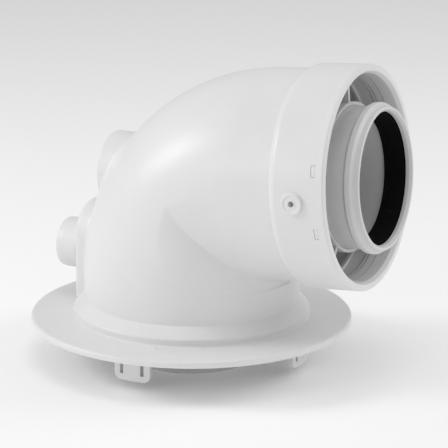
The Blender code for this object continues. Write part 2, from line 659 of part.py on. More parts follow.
def main():
    white = new_material("white_plastic", WHITE, 0.38)
    flue_white = new_material("flue_plastic", FLUE_WHITE, 0.42)
    black = new_material("black_rubber", BLACK, 0.55)
    grey = new_material("grey_rubber", GREY, 0.60)
    make_mounting_flange(white)
    make_flange_gasket(black)
    make_groove_seal("hub_seal_ring", DUCT_RADIUS, HUB_GROOVE_DEPTH, HUB_GROOVE, along_upright(), black)
    make_air_duct_elbow(white)
    make_socket_collar(white)
    make_groove_seal("collar_seal_ring", TUBE_RADIUS, COLLAR_GROOVE_DEPTH, COLLAR_GROOVE, along_outlet(),
                     black)
    make_seal_retainer_ring(white)
    make_air_duct_seal(grey)
    make_flue_elbow(flue_white)
    make_flue_lip_seal(black)
    make_spacers(flue_white)
    make_air_test_point(white, black)
    make_flue_test_point(white, flue_white, black)


main()
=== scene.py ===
"""Looks of the flue elbow: fine meshes, plastics and rubbers, camera and studio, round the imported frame.

Metres, in the frame's own axes: origin on the upright duct's axis at the flange's underside, +Z up, outlet
towards +X and rising by OUTLET_RISE, test points at the back, towards -X. Dimensions repeat the CAD part's.
"""

import math

import bmesh
import bpy
import numpy as np
from mathutils import Matrix, Vector


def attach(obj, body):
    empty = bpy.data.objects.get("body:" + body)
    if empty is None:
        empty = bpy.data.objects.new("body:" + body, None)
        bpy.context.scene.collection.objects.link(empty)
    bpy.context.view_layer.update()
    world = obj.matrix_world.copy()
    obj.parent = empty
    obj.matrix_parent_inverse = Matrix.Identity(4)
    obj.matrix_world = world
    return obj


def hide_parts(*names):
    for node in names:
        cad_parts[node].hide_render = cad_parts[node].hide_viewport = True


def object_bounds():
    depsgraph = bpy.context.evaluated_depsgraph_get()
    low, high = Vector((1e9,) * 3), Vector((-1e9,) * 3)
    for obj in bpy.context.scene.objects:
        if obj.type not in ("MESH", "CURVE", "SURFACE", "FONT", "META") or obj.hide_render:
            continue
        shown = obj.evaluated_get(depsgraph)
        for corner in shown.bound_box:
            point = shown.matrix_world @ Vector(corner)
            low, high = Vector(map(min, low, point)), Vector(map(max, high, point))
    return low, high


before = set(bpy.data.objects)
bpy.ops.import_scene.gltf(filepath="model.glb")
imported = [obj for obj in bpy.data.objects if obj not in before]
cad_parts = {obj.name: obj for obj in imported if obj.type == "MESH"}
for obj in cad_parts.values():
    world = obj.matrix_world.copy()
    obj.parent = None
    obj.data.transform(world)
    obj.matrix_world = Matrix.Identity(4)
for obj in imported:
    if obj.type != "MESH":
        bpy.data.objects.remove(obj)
CAD_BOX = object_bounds()

ROUND = 400                  # segments round the ducts
SMALL_ROUND = 112            # segments round the test points
OUTER_STEPS = 160            # sections round the bend, on the surface that shows
INNER_STEPS = 40             # the same on hidden surfaces and the flue
CORNER_STEPS = 6             # faces across a rounded edge
SMOOTH_ANGLE = math.radians(38)      # edges sharper than this stay sharp
GAP = 0.0003                 # clearance between pieces that fit together, as in the CAD
CUT_REACH = 0.08             # cutters run out to this distance, past the surface they open
SNUG = 0.0002                # a sleeve's mouth is drawn this far into the duct, so no dark gap shows

# Mounting flange
PLATE_RADIUS = 0.1035
PLATE_THICKNESS = 0.0044
PLATE_BORE = 0.0635
HUB_RADIUS = 0.076
HUB_EDGE_HEIGHT = 0.0088
HUB_TOP = 0.0157
PLATE_MARKS = (              # name, turn, distance from the axis, (half width, half length), height
    ("mark_pip", math.radians(-77.8), 0.0815, (0.0012, 0.0012), 0.0004),
    ("mark_dash", math.radians(-68.2), 0.0754, (0.0028, 0.0005), 0.0003),
    ("mark_oval", math.radians(-72.8), 0.0802, (0.0080, 0.0066), 0.0001))
LUG_RADIUS = 0.079
LUG_THICKNESS = 0.0045
LUG_WIDTH = 0.025
LUG_DEPTH = 0.0196
LUG_CORNER = 0.0045
LUG_EDGE = 0.00035
LUG_LOW_ROW = -0.0178        # a row of points between the slot and the lug's end
SLOT_EDGES = (0.0060, 0.0084)
SLOT_SPAN = (-0.0156, -0.0040)

# Air duct
DUCT_RADIUS = 0.069
TUBE_RADIUS = 0.066
DUCT_WALL = 0.0028
DUCT_BEND_RADIUS = 0.070
CREASE = 0.0003              # softness of the mitre between the two tubes
OUTLET_HEIGHT = 0.0979
OUTLET_RISE = math.radians(4.0)
TUBE_END = 0.0935

# Socket at the outlet, as distances along the outlet's axis
COLLAR_RADIUS = 0.069
COLLAR_START = 0.0864
COLLAR_END = 0.1192
COLLAR_SLOPE = (0.0022, 0.003)       # height and length of the slope at the collar's start
RIM_END = 0.122
SOCKET_BORE = 0.0633
POCKET_RADIUS = 0.0661
POCKET_START = 0.1045
DUCT_STOP_RADIUS = 0.0615
DUCT_STOP_END = 0.0965
SKIRT_START = 0.1118
WINDOW_ANGLES = (math.radians(14.5), math.radians(-17.0))
WINDOW_CENTRE = 0.1153
WINDOW_SIZE = (0.0028, 0.0070)
WINDOW_REACH = 0.010         # depth of the windows' cutter, centred on the collar's surface
CATCH_SIZE = (0.0034, 0.0067, 0.0026)
CATCH_DEPTH = 0.0019         # of the catch's middle below the collar's surface
SCREW_POSITION = 0.102
SCREW_LEAN = math.radians(-1.6)
SCREW_BOSS_RADIUS = 0.0067
SCREW_BOSS_HEIGHT = 0.0018
SCREW_HOLE_RADIUS = 0.0018
SCREW_HOLE_START = 0.055
SCREW_ROUND = 96             # segments round the screw bosses

# Flue
FLUE_RADIUS = 0.040
FLUE_WALL = 0.0022
FLUE_BEND_RADIUS = 0.052
SPIGOT_RADIUS = 0.0414
SPIGOT_BOTTOM = -0.0252
SPIGOT_TOP = 0.006
FLUE_SOCKET_RADIUS = 0.0437
FLUE_SOCKET_BORE = 0.0406
FLUE_SOCKET_START = 0.090
FLUE_SOCKET_END = 0.1332
BEAD_RADIUS = 0.0460
BEAD_GROOVE_RADIUS = 0.0441
BEAD = (0.1243, 0.1295)
LIP_RADIUS = 0.0385
LIP_START = 0.1154

# Test points
PAD_BACK = -0.0747
PAD_HALF_WIDTH = 0.0224
PAD_ARCH_CENTRE = 0.0483
PAD_EDGE = 0.0028
PAD_FILLET = 0.0034
PAD_SEAT = 0.0091
AIR_TEST_HEIGHT = 0.0389
CAP_RADIUS = 0.0165
CAP_BACK = -0.0932
CAP_FRONT = -0.0758
CAP_DISH_RADIUS = 0.0105     # shallow dish in the cap's face
CAP_DISH_DEPTH = 0.0007
CAP_RIDGES = 48
CAP_RIDGE_DEPTH = 0.0001
CAP_ROUND = 320              # segments round the cap, for its ridges
NOZZLE_RADIUS = 0.009
NOZZLE_BORE = 0.006
NOZZLE_BACK = 0.0882
NOZZLE_START = 0.064
NOZZLE_SHOULDER = 0.002      # height and thickness of the nozzle's shoulder on the pad
THREAD_TURNS = 5
THREAD_DEPTH = 0.0005
BOSS_BACK = -0.0565
BOSS_HEIGHT = 0.0925
BOSS_RADIUS = 0.0248
BOSS_EDGE = 0.0016
BOSS_FILLET = 0.0030
PLUG_HEIGHT = 0.1010
PLUG_RADIUS = 0.0105
PLUG_DEPTH = 0.005
PLUG_SUNK = 0.0005           # the plug's face lies this far below the boss's
PLUG_HEAD_GAP = 0.0017       # room for the seal ring under its head
PLUG_STEM = 0.008
PLUG_RIM = 0.0088            # a shallow dish inside this radius
PLUG_SLOT = (0.0022, 0.014, 0.003)
FLUE_NOZZLE_RADIUS = 0.0065
FLUE_NOZZLE_BORE = 0.0045
PASSAGE_START = 0.03         # the flue tube's passage, from the upright's axis
NOZZLE_HOLE_START = 0.05
NOZZLE_HOLE_END = 0.09
ARCH_STEPS = 48              # faces round half a circle, on the pad and the boss
SIDE_STEPS = 14              # faces up the pad's straight sides

Y_AXIS = np.array((0.0, 1.0, 0.0))
OUTLET_AXIS = np.array((math.cos(OUTLET_RISE), 0, math.sin(OUTLET_RISE)))
OUTLET_UP = np.array((-math.sin(OUTLET_RISE), 0, math.cos(OUTLET_RISE)))
OUTLET_ORIGIN = np.array((0, 0, OUTLET_HEIGHT))
BEND_TURN = math.pi / 2 - OUTLET_RISE
BEND_DROP = DUCT_BEND_RADIUS * (1 - math.sin(OUTLET_RISE)) / math.cos(OUTLET_RISE)

ALONG_UPRIGHT = Matrix.Identity(4)
ALONG_OUTLET = Matrix.Translation(Vector(OUTLET_ORIGIN)) @ Matrix.Rotation(BEND_TURN, 4, "Y")


def along_back(height):
    return Matrix.Translation((0, 0, height)) @ Matrix.Rotation(-math.pi / 2, 4, "Y")


# Making meshes

def add_object(name, bm, weighted=True):
    """A mesh object with smooth faces, and sharp edges only where faces meet at more than SMOOTH_ANGLE."""
    bmesh.ops.remove_doubles(bm, verts=bm.verts, dist=1e-7)
    bmesh.ops.recalc_face_normals(bm, faces=bm.faces)
    mesh = bpy.data.meshes.new(name)
    bm.to_mesh(mesh)
    bm.free()
    mesh.shade_smooth()
    mesh.set_sharp_from_angle(angle=SMOOTH_ANGLE)
    piece = bpy.data.objects.new(name, mesh)
    bpy.context.scene.collection.objects.link(piece)
    if weighted:
        normals = piece.modifiers.new("face_weighted_normals", "WEIGHTED_NORMAL")
        normals.keep_sharp = True
    return piece


def rounded(points, closed=True):
    """A profile of (radius, position, optional rounding) points with its corners rounded."""
    out = []
    count = len(points)
    for index, point in enumerate(points):
        corner = np.array(point[:2], float)
        rounding = point[2] if len(point) > 2 else 0
        if not rounding or (not closed and index in (0, count - 1)):
            out.append(tuple(corner))
            continue
        before = np.array(points[index - 1][:2]) - corner
        after = np.array(points[(index + 1) % count][:2]) - corner
        before_length, after_length = np.linalg.norm(before), np.linalg.norm(after)
        before, after = before / before_length, after / after_length
        half = math.acos(max(-1, min(1, float(before @ after)))) / 2
        reach = min(rounding / math.tan(half), 0.49 * before_length, 0.49 * after_length)
        radius = reach * math.tan(half)
        middle = (before + after) / np.linalg.norm(before + after)
        centre = corner + middle * radius / math.sin(half)
        first, last = corner + before * reach - centre, corner + after * reach - centre
        start = math.atan2(first[1], first[0])
        sweep = (math.atan2(last[1], last[0]) - start + math.pi) % (2 * math.pi) - math.pi
        for step in range(CORNER_STEPS + 1):
            angle = start + sweep * step / CORNER_STEPS
            out.append((centre[0] + radius * math.cos(angle), centre[1] + radius * math.sin(angle)))
    return out


def grid_faces(bm, rows, wrap_rows):
    """Quads between rows of vertices that each close on themselves."""
    count = len(rows[0])
    followers = rows[1:] + rows[:1] if wrap_rows else rows[1:]
    for first, second in zip(rows, followers):
        for index in range(count):
            following = (index + 1) % count
            bm.faces.new((first[index], first[following], second[following], second[index]))


def revolve(name, points, place, segments=ROUND, shape=None):
    """A closed profile turned about the local Z axis; shape(turn, radius, position) changes the radius."""
    outline = rounded(points)
    bm = bmesh.new()
    rows = []
    for radius, position in outline:
        row = []
        for index in range(segments):
            turn = 2 * math.pi * index / segments
            wide = shape(turn, radius, position) if shape else radius
            spot = Vector((wide * math.cos(turn), wide * math.sin(turn), position))
            row.append(bm.verts.new(place @ spot))
        rows.append(row)
    grid_faces(bm, rows, True)
    return add_object(name, bm)


def rod(name, radius, start, end, place, segments=64):
    """A plain round cutter along the local Z axis."""
    bm = bmesh.new()
    bmesh.ops.create_cone(bm, cap_ends=True, segments=segments, radius1=radius, radius2=radius,
                          depth=end - start)
    bmesh.ops.translate(bm, verts=bm.verts, vec=(0, 0, (start + end) / 2))
    bmesh.ops.transform(bm, matrix=place, verts=bm.verts)
    return add_object(name, bm, weighted=False)


def rounded_block(name, size, place, rounding):
    """A block with all its edges rounded."""
    bm = bmesh.new()
    bmesh.ops.create_cube(bm, size=1)
    bmesh.ops.scale(bm, verts=bm.verts, vec=size)
    bmesh.ops.bevel(bm, geom=bm.edges[:], offset=rounding, segments=3, profile=0.5, affect="EDGES")
    bmesh.ops.transform(bm, matrix=place, verts=bm.verts)
    return add_object(name, bm, weighted=False)


def cut(piece, *tools):
    """Takes the tools' shapes out of the piece's mesh for good, and removes the tools."""
    for tool in tools:
        step = piece.modifiers.new("cut", "BOOLEAN")
        step.object, step.operation, step.solver = tool, "DIFFERENCE", "EXACT"
        piece.modifiers.move(len(piece.modifiers) - 1, 0)
        mesh = bpy.data.meshes.new_from_object(
            piece_without_normals(piece).evaluated_get(bpy.context.evaluated_depsgraph_get()))
        piece.modifiers.remove(step)
        piece.data = mesh
        bpy.data.objects.remove(tool)
    for modifier in piece.modifiers:
        modifier.show_viewport = True
    mesh = piece.data
    mesh.shade_smooth()
    mesh.set_sharp_from_angle(angle=SMOOTH_ANGLE)
    return piece


def piece_without_normals(piece):
    """The piece with only its booleans switched on, so that a cut starts from the plain mesh."""
    for modifier in piece.modifiers:
        modifier.show_viewport = modifier.type == "BOOLEAN"
    bpy.context.view_layer.update()
    return piece


# The air duct's surface

def reach_in_cylinder(offset, slope, side, radius):
    """Distance along each ray from a point `offset` off a cylinder's axis until it leaves the cylinder."""
    a = np.maximum(slope * slope + side * side, 1e-12)
    b = offset * slope
    inside = b * b - a * (offset * offset - radius * radius)
    return np.where(inside < 0, 0, (-b + np.sqrt(np.maximum(inside, 0))) / a)


def section(centre, outward, radii):
    """Points round a centre in the plane of `outward` and Y, from the inner side of the bend."""
    angles = 2 * math.pi * np.arange(len(radii)) / len(radii)
    across = np.outer(np.sin(angles), Y_AXIS) - np.outer(np.cos(angles), outward)
    return np.array(centre) + radii[:, None] * across


SEAM = 0.0004                # distance between the upright's last ring and the bend's first
UPRIGHT_RINGS = 8            # spans of the upright, below the bend
TAIL_RINGS = 6               # spans of the outlet tube, past the bend
TAIL_LEAD = 0.003            # their spacing counts from this far before the bend radius


def upright_ring(height, radius):
    return section((0, 0, height), np.array((-1.0, 0, 0)), np.full(ROUND, radius))


def outlet_ring(position, radius):
    return section(OUTLET_ORIGIN + position * OUTLET_AXIS, OUTLET_UP, np.full(ROUND, radius))


def bend_centre(bend_radius):
    drop = bend_radius * (1 - math.sin(OUTLET_RISE)) / math.cos(OUTLET_RISE)
    return np.array((bend_radius, 0, OUTLET_HEIGHT - drop))


def soft_larger(first, second, width):
    """The larger of two values, with the step between them rounded over about this width."""
    gap = np.maximum(width - np.abs(first - second), 0) / width
    return np.maximum(first, second) + gap * gap * width / 4


def duct_bend_ring(turn, upright_radius, outlet_radius, crease):
    """A section of the bend's round sweep, held within the two straight tubes run through each other."""
    outward = np.array((-math.cos(turn), 0, math.sin(turn)))
    centre = bend_centre(DUCT_BEND_RADIUS) + DUCT_BEND_RADIUS * outward
    sweep = upright_radius + (outlet_radius - upright_radius) * turn / BEND_TURN
    below_outlet = float((centre - OUTLET_ORIGIN) @ OUTLET_UP)
    angles = 2 * math.pi * np.arange(ROUND) / ROUND
    side = np.sin(angles)
    inward = -np.outer(np.cos(angles), outward)
    in_upright = reach_in_cylinder(centre[0], inward[:, 0], side, upright_radius)
    in_outlet = reach_in_cylinder(below_outlet, inward @ OUTLET_UP, side, sweep)
    return section(centre, outward, np.minimum(sweep, soft_larger(in_upright, in_outlet, crease)))


def flue_bend_ring(turn, radius):
    outward = np.array((-math.cos(turn), 0, math.sin(turn)))
    centre = bend_centre(FLUE_BEND_RADIUS) + FLUE_BEND_RADIUS * outward
    return section(centre, outward, np.full(ROUND, radius))


def bend_turns(steps):
    return [BEND_TURN * step / steps for step in range(steps + 1)]


def duct_rings(inset, crease, steps):
    """Sections of the duct from the flange to the outlet tube's end, this far inside its outer surface."""
    upright, outlet = DUCT_RADIUS - inset, TUBE_RADIUS - inset
    low, high = PLATE_THICKNESS + GAP, OUTLET_HEIGHT - BEND_DROP - SEAM
    after, count = DUCT_BEND_RADIUS - TAIL_LEAD, TAIL_RINGS
    rings = [upright_ring(low + (high - low) * step / UPRIGHT_RINGS, upright)
             for step in range(UPRIGHT_RINGS + 1)]
    rings += [duct_bend_ring(turn, upright, outlet, crease) for turn in bend_turns(steps)]
    rings += [outlet_ring(after + (TUBE_END - after) * step / count, outlet)
              for step in range(1, count + 1)]
    return rings


def loft(name, rings):
    """A surface through rings of equal counts of points, closed on itself both ways."""
    bm = bmesh.new()
    rows = [[bm.verts.new(point) for point in ring] for ring in rings]
    grid_faces(bm, rows, True)
    return add_object(name, bm)


def duct_back(y, z):
    """X of the air duct's outer surface at the back, at this Y and height."""
    low = OUTLET_HEIGHT - BEND_DROP
    if z <= low:
        return -math.sqrt(max(DUCT_RADIUS ** 2 - y * y, 0))
    x = -0.06
    for _ in range(6):
        turn = math.atan2(z - low, DUCT_BEND_RADIUS - x)
        sweep = DUCT_RADIUS + (TUBE_RADIUS - DUCT_RADIUS) * turn / BEND_TURN
        arm = DUCT_BEND_RADIUS + math.sqrt(max(sweep * sweep - y * y, 0))
        x = DUCT_BEND_RADIUS - math.sqrt(max(arm * arm - (z - low) ** 2, 0))
    return x


def raised_face(name, outline, normals, back, rounding, fillet):
    """A boss on the duct's back: flat rear face, rounded rear edge, straight side, fillet onto the duct."""
    bm = bmesh.new()
    middle = sum(np.array(point) for point in outline) / len(outline)
    rows = []

    def row(place):
        rows.append([bm.verts.new(place(point, normal)) for point, normal in zip(outline, normals)])

    for share in (0.35, 0.7):
        row(lambda point, normal, share=share: (
            back, *(middle + (np.array(point) - rounding * np.array(normal) - middle) * share)))
    for step in range(CORNER_STEPS + 1):
        angle = math.pi / 2 * step / CORNER_STEPS
        inset, depth = rounding * (1 - math.sin(angle)), rounding * (1 - math.cos(angle))
        row(lambda point, normal, inset=inset, depth=depth: (
            back + depth, *(np.array(point) - inset * np.array(normal))))
    steps = 9
    for step in range(steps + 1):
        share = step / steps

        def bend(point, normal, share=share):
            near, far = np.array(point), np.array(point) + fillet * np.array(normal)
            near_x, far_x = duct_back(*near), duct_back(*far)
            run = min(fillet, (near_x - back - rounding) * 0.9)
            start = np.array((near_x - run, *near))
            corner = np.array((near_x, *near))
            end = np.array((far_x, *far))
            if run < fillet:
                end = corner + (end - corner) * max(run, 0) / fillet
            a, b = start + (corner - start) * share, corner + (end - corner) * share
            return a + (b - a) * share
        row(bend)
    last = rows[-1]
    sunk = [bm.verts.new(vert.co + Vector((0.0012, 0, 0))) for vert in last]
    rows.append(sunk)
    count = len(outline)
    for first, second in zip(rows, rows[1:]):
        for index in range(count):
            following = (index + 1) % count
            bm.faces.new((first[index], first[following], second[following], second[index]))
    front = bm.verts.new((back, *middle))
    rear = bm.verts.new((max(vert.co.x for vert in sunk), *middle))
    for centre, ring in ((front, rows[0]), (rear, sunk)):
        for index in range(count):
            bm.faces.new((ring[index], ring[(index + 1) % count], centre))
    return add_object(name, bm)


def plug_cutters(owner):
    """The recess that the plug sits in, and the passage of the tube that it closes."""
    place = along_back(PLUG_HEIGHT)
    return (rod(f"{owner}_recess", PLUG_RADIUS + GAP, -BOSS_BACK - PLUG_DEPTH, CUT_REACH, place),
            rod(f"{owner}_passage", FLUE_NOZZLE_RADIUS + GAP, PASSAGE_START, CUT_REACH, place))


def nozzle_cutter(owner):
    """The hole that the air test nozzle comes through."""
    return rod(f"{owner}_hole", NOZZLE_RADIUS + GAP, NOZZLE_HOLE_START, NOZZLE_HOLE_END,
               along_back(AIR_TEST_HEIGHT))


def make_duct():
    shell = loft("duct_shell", duct_rings(0, CREASE, OUTER_STEPS)
                 + duct_rings(DUCT_WALL, CREASE, INNER_STEPS)[::-1])
    cut(shell, *plug_cutters("shell"), nozzle_cutter("shell"))
    outline, normals = [], []
    for step in range(ARCH_STEPS + 1):
        angle = math.pi * step / ARCH_STEPS
        y, z = math.cos(angle), math.sin(angle)
        normals.append((y, z))
        outline.append((PAD_HALF_WIDTH * y, PAD_ARCH_CENTRE + PAD_HALF_WIDTH * z))
    for side, order in ((-1, 1), (1, -1)):
        heights = [PAD_SEAT + (PAD_ARCH_CENTRE - PAD_SEAT) * step / SIDE_STEPS
                   for step in range(SIDE_STEPS)][::-order]
        for height in heights:
            outline.append((side * PAD_HALF_WIDTH, height))
            normals.append((side, 0))
    pad = raised_face("test_pad", outline, normals, PAD_BACK, PAD_EDGE, PAD_FILLET)
    cut(pad, nozzle_cutter("pad"))
    circle = [math.pi * step / ARCH_STEPS for step in range(2 * ARCH_STEPS)]
    normals = [(math.cos(angle), math.sin(angle)) for angle in circle]
    outline = [(BOSS_RADIUS * y, BOSS_HEIGHT + BOSS_RADIUS * z) for y, z in normals]
    boss = raised_face("test_boss", outline, normals, BOSS_BACK, BOSS_EDGE, BOSS_FILLET)
    cut(boss, *plug_cutters("boss"))
    return [shell, pad, boss]


# The other pieces

def make_flange():
    fit = DUCT_RADIUS - SNUG
    plate = revolve("flange_plate", [
        (PLATE_BORE, 0, 0.0004), (PLATE_RADIUS, 0, 0.0012), (PLATE_RADIUS, PLATE_THICKNESS, 0.0018),
        (HUB_RADIUS, PLATE_THICKNESS, 0.0011), (HUB_RADIUS, HUB_EDGE_HEIGHT, 0.0018),
        (fit + 0.0030, HUB_TOP - 0.0028, 0.0060), (fit, HUB_TOP),
        (fit, PLATE_THICKNESS), (PLATE_BORE, PLATE_THICKNESS, 0.0004)], ALONG_UPRIGHT)
    return [plate] + [make_lug(number) for number in range(4)] + make_marks()


def make_marks():
    """The plate's faint moulding marks near its front edge: an ejector's oval, a pip and a short dash."""
    marks = []
    for name, turn, reach, size, height in PLATE_MARKS:
        spot = Matrix.Rotation(turn, 4, "Z") @ Matrix.Translation((reach, 0, PLATE_THICKNESS))
        low, top = -0.0010, height
        if name == "mark_oval":
            wide, rounding = 0.0003, 0.0001
            inner = size[0] - wide
            profile = [(inner, low), (size[0], low), (size[0], top, rounding), (inner, top, rounding)]
        else:
            profile = [(0, low), (size[0], low), (size[0], top, 0.8 * height), (0, top)]
        stretch = Matrix.Diagonal((size[1] / size[0], 1, 1, 1))
        marks.append(revolve(name, profile, spot @ stretch, 48))
    return marks


def lug_columns():
    """Positions across a lug, closer where its corner is rounded, with the slots' edges among them."""
    half = LUG_WIDTH / 2
    right = [0.0, 0.002, 0.004, SLOT_EDGES[0], (SLOT_EDGES[0] + SLOT_EDGES[1]) / 2, SLOT_EDGES[1]]
    right += [half - LUG_CORNER * (1 - math.sin(math.pi / 2 * step / 8)) for step in range(1, 9)]
    right = sorted(set(round(value, 6) for value in right))
    return [-value for value in right[:0:-1]] + right


def make_lug(number):
    columns = lug_columns()
    rows = [PLATE_THICKNESS / 2, -0.0002, SLOT_SPAN[1], sum(SLOT_SPAN) / 2, SLOT_SPAN[0],
            LUG_LOW_ROW, -LUG_DEPTH]
    bm = bmesh.new()
    faces = []
    for radius in (LUG_RADIUS, LUG_RADIUS - LUG_THICKNESS):
        verts = []
        for across in columns:
            past = max(abs(across) - (LUG_WIDTH / 2 - LUG_CORNER), 0)
            raised = LUG_CORNER - math.sqrt(max(LUG_CORNER ** 2 - past ** 2, 0))
            scale = (LUG_DEPTH - raised) / LUG_DEPTH
            angle = across / LUG_RADIUS
            verts.append([bm.verts.new((radius * math.cos(angle), radius * math.sin(angle),
                                        height if height > 0 else height * scale)) for height in rows])
        faces.append(verts)
    outer, inner = faces

    def solid(column, row):
        if not (0 <= column < len(columns) - 1 and 0 <= row < len(rows) - 1):
            return False
        middle = abs(columns[column] + columns[column + 1]) / 2
        height = (rows[row] + rows[row + 1]) / 2
        return not (SLOT_EDGES[0] < middle < SLOT_EDGES[1] and SLOT_SPAN[0] < height < SLOT_SPAN[1])

    for column in range(len(columns) - 1):
        for row in range(len(rows) - 1):
            if not solid(column, row):
                continue
            corners = [(column, row), (column + 1, row), (column + 1, row + 1), (column, row + 1)]
            for side in (outer, inner):
                bm.faces.new([side[c][r] for c, r in corners])
            beyond = [(column, row - 1), (column + 1, row), (column, row + 1), (column - 1, row)]
            for index, neighbour in enumerate(beyond):
                if not solid(*neighbour):
                    (a, b), (c, d) = corners[index], corners[(index + 1) % 4]
                    bm.faces.new((outer[a][b], outer[c][d], inner[c][d], inner[a][b]))
    bmesh.ops.transform(bm, matrix=Matrix.Rotation(number * math.pi / 2, 4, "Z"), verts=bm.verts)
    lug = add_object(f"lug_{number + 1}", bm, weighted=False)
    soften = lug.modifiers.new("edges", "BEVEL")
    soften.width, soften.segments, soften.limit_method = LUG_EDGE, 3, "ANGLE"
    soften.angle_limit = math.radians(35)
    return lug


def side_place(side):
    """Local +Z points out of the collar's side, towards -Y or +Y, at the screw's position."""
    face = Matrix.Rotation(side * (math.pi / 2 + SCREW_LEAN), 4, "Z") @ Matrix.Rotation(math.pi / 2, 4, "Y")
    return ALONG_OUTLET @ Matrix.Translation((0, 0, SCREW_POSITION)) @ face


def window_angles():
    return [side * (math.pi / 2 + lean) for side in (-1, 1) for lean in WINDOW_ANGLES]


def make_collar():
    over = TUBE_RADIUS - SNUG
    screw_band, window_band = 0.9 * SCREW_BOSS_RADIUS, 0.6 * WINDOW_SIZE[0]
    bands = [SCREW_POSITION - screw_band, SCREW_POSITION + screw_band,
             WINDOW_CENTRE - window_band, WINDOW_CENTRE + window_band]
    collar = revolve("collar", [
        (over, COLLAR_START), (COLLAR_RADIUS - COLLAR_SLOPE[0], COLLAR_START, 0.0004),
        (COLLAR_RADIUS, COLLAR_START + COLLAR_SLOPE[1], 0.0050)] + [
        (COLLAR_RADIUS, position) for position in bands] + [
        (COLLAR_RADIUS, COLLAR_END), (POCKET_RADIUS, COLLAR_END, 0.0002),
        (POCKET_RADIUS, POCKET_START), (SOCKET_BORE, POCKET_START, 0.0003),
        (SOCKET_BORE, DUCT_STOP_END), (DUCT_STOP_RADIUS, DUCT_STOP_END, 0.0004),
        (DUCT_STOP_RADIUS, TUBE_END + GAP, 0.0004), (over, TUBE_END + GAP)], ALONG_OUTLET)
    tools = [rod(f"screw_hole_{side}", SCREW_HOLE_RADIUS, SCREW_HOLE_START, CUT_REACH, side_place(side), 32)
             for side in (-1, 1)]
    for number, angle in enumerate(window_angles()):
        place = ALONG_OUTLET @ Matrix.Rotation(angle, 4, "Z") @ Matrix.Translation(
            (COLLAR_RADIUS, 0, WINDOW_CENTRE))
        size = (WINDOW_REACH, WINDOW_SIZE[1], WINDOW_SIZE[0])
        tools.append(rounded_block(f"window_{number}", size, place, 0.0005))
    cut(collar, *tools)
    pieces = [collar]
    for side, word in ((-1, "near"), (1, "far")):
        top = COLLAR_RADIUS + SCREW_BOSS_HEIGHT
        low = COLLAR_RADIUS - 0.0012
        outer, hole, groove = SCREW_BOSS_RADIUS, SCREW_HOLE_RADIUS, top - 0.0004
        pieces.append(revolve(f"screw_boss_{word}", [
            (hole, low), (outer + 0.0002, low), (outer, top, 0.0008),
            (outer - 0.0016, top, 0.0005), (outer - 0.0021, groove, 0.0005),
            (hole + 0.0014, groove, 0.0004), (hole + 0.0008, top - 0.0001, 0.0004),
            (hole, top - 0.0003, 0.0003)], side_place(side), SCREW_ROUND))
    return pieces


def make_retainer():
    skirt = POCKET_RADIUS - GAP
    start = COLLAR_END
    ring = revolve("retainer", [
        (SOCKET_BORE, SKIRT_START, 0.0003), (skirt, SKIRT_START, 0.0003), (skirt, start),
        (COLLAR_RADIUS, start), (COLLAR_RADIUS, RIM_END, 0.0014),
        (SOCKET_BORE + 0.0016, RIM_END, 0.0007), (SOCKET_BORE, RIM_END - 0.0024, 0.0008)], ALONG_OUTLET)
    pieces = [ring]
    for number, angle in enumerate(window_angles()):
        place = ALONG_OUTLET @ Matrix.Rotation(angle, 4, "Z") @ Matrix.Translation(
            (COLLAR_RADIUS - CATCH_DEPTH, 0, WINDOW_CENTRE))
        pieces.append(rounded_block(f"catch_{number + 1}", CATCH_SIZE, place, 0.0003))
    return pieces


def make_flue():
    bore, spigot_bore = FLUE_RADIUS - FLUE_WALL, SPIGOT_RADIUS - FLUE_WALL
    start, end = FLUE_SOCKET_START, FLUE_SOCKET_END
    tail = rounded([
        (FLUE_RADIUS, 0.080), (FLUE_RADIUS, start - 0.005, 0.003), (FLUE_SOCKET_RADIUS, start, 0.003),
        (FLUE_SOCKET_RADIUS, BEAD[0] - 0.0010, 0.0014), (BEAD_RADIUS, BEAD[0] + 0.0008, 0.0012),
        (BEAD_RADIUS, BEAD[1] - 0.0008, 0.0012), (FLUE_SOCKET_RADIUS, BEAD[1] + 0.0004, 0.0006),
        (FLUE_SOCKET_RADIUS, end, 0.0007), (FLUE_SOCKET_BORE + 0.0012, end, 0.0005),
        (FLUE_SOCKET_BORE, end - 0.0018, 0.0008), (FLUE_SOCKET_BORE, BEAD[1] - 0.0004, 0.0002),
        (BEAD_GROOVE_RADIUS, BEAD[1] - 0.0008, 0.0002), (BEAD_GROOVE_RADIUS, BEAD[0] + 0.0008, 0.0002),
        (FLUE_SOCKET_BORE, BEAD[0] + 0.0004, 0.0002), (FLUE_SOCKET_BORE, start + 0.002),
        (bore, start + 0.002, 0.0006), (bore, 0.080)], closed=False)
    foot = rounded([
        (bore, 0.025), (bore, SPIGOT_TOP + 0.0025), (spigot_bore, SPIGOT_TOP),
        (spigot_bore, SPIGOT_BOTTOM, 0.0005),
        (SPIGOT_RADIUS - 0.0012, SPIGOT_BOTTOM, 0.0005), (SPIGOT_RADIUS, SPIGOT_BOTTOM + 0.0025, 0.0020),
        (SPIGOT_RADIUS, SPIGOT_TOP, 0.0010), (FLUE_RADIUS, SPIGOT_TOP + 0.0025, 0.0020),
        (FLUE_RADIUS, 0.025)], closed=False)
    turns = bend_turns(INNER_STEPS)
    rings = [upright_ring(height, radius) for radius, height in foot]
    rings += [flue_bend_ring(turn, FLUE_RADIUS) for turn in turns]
    rings += [outlet_ring(position, radius) for radius, position in tail]
    rings += [flue_bend_ring(turn, bore) for turn in turns[::-1]]
    flue = loft("flue", rings)
    return [cut(flue, rod("flue_hole", FLUE_NOZZLE_RADIUS + GAP, 0, 0.05, along_back(PLUG_HEIGHT)))]


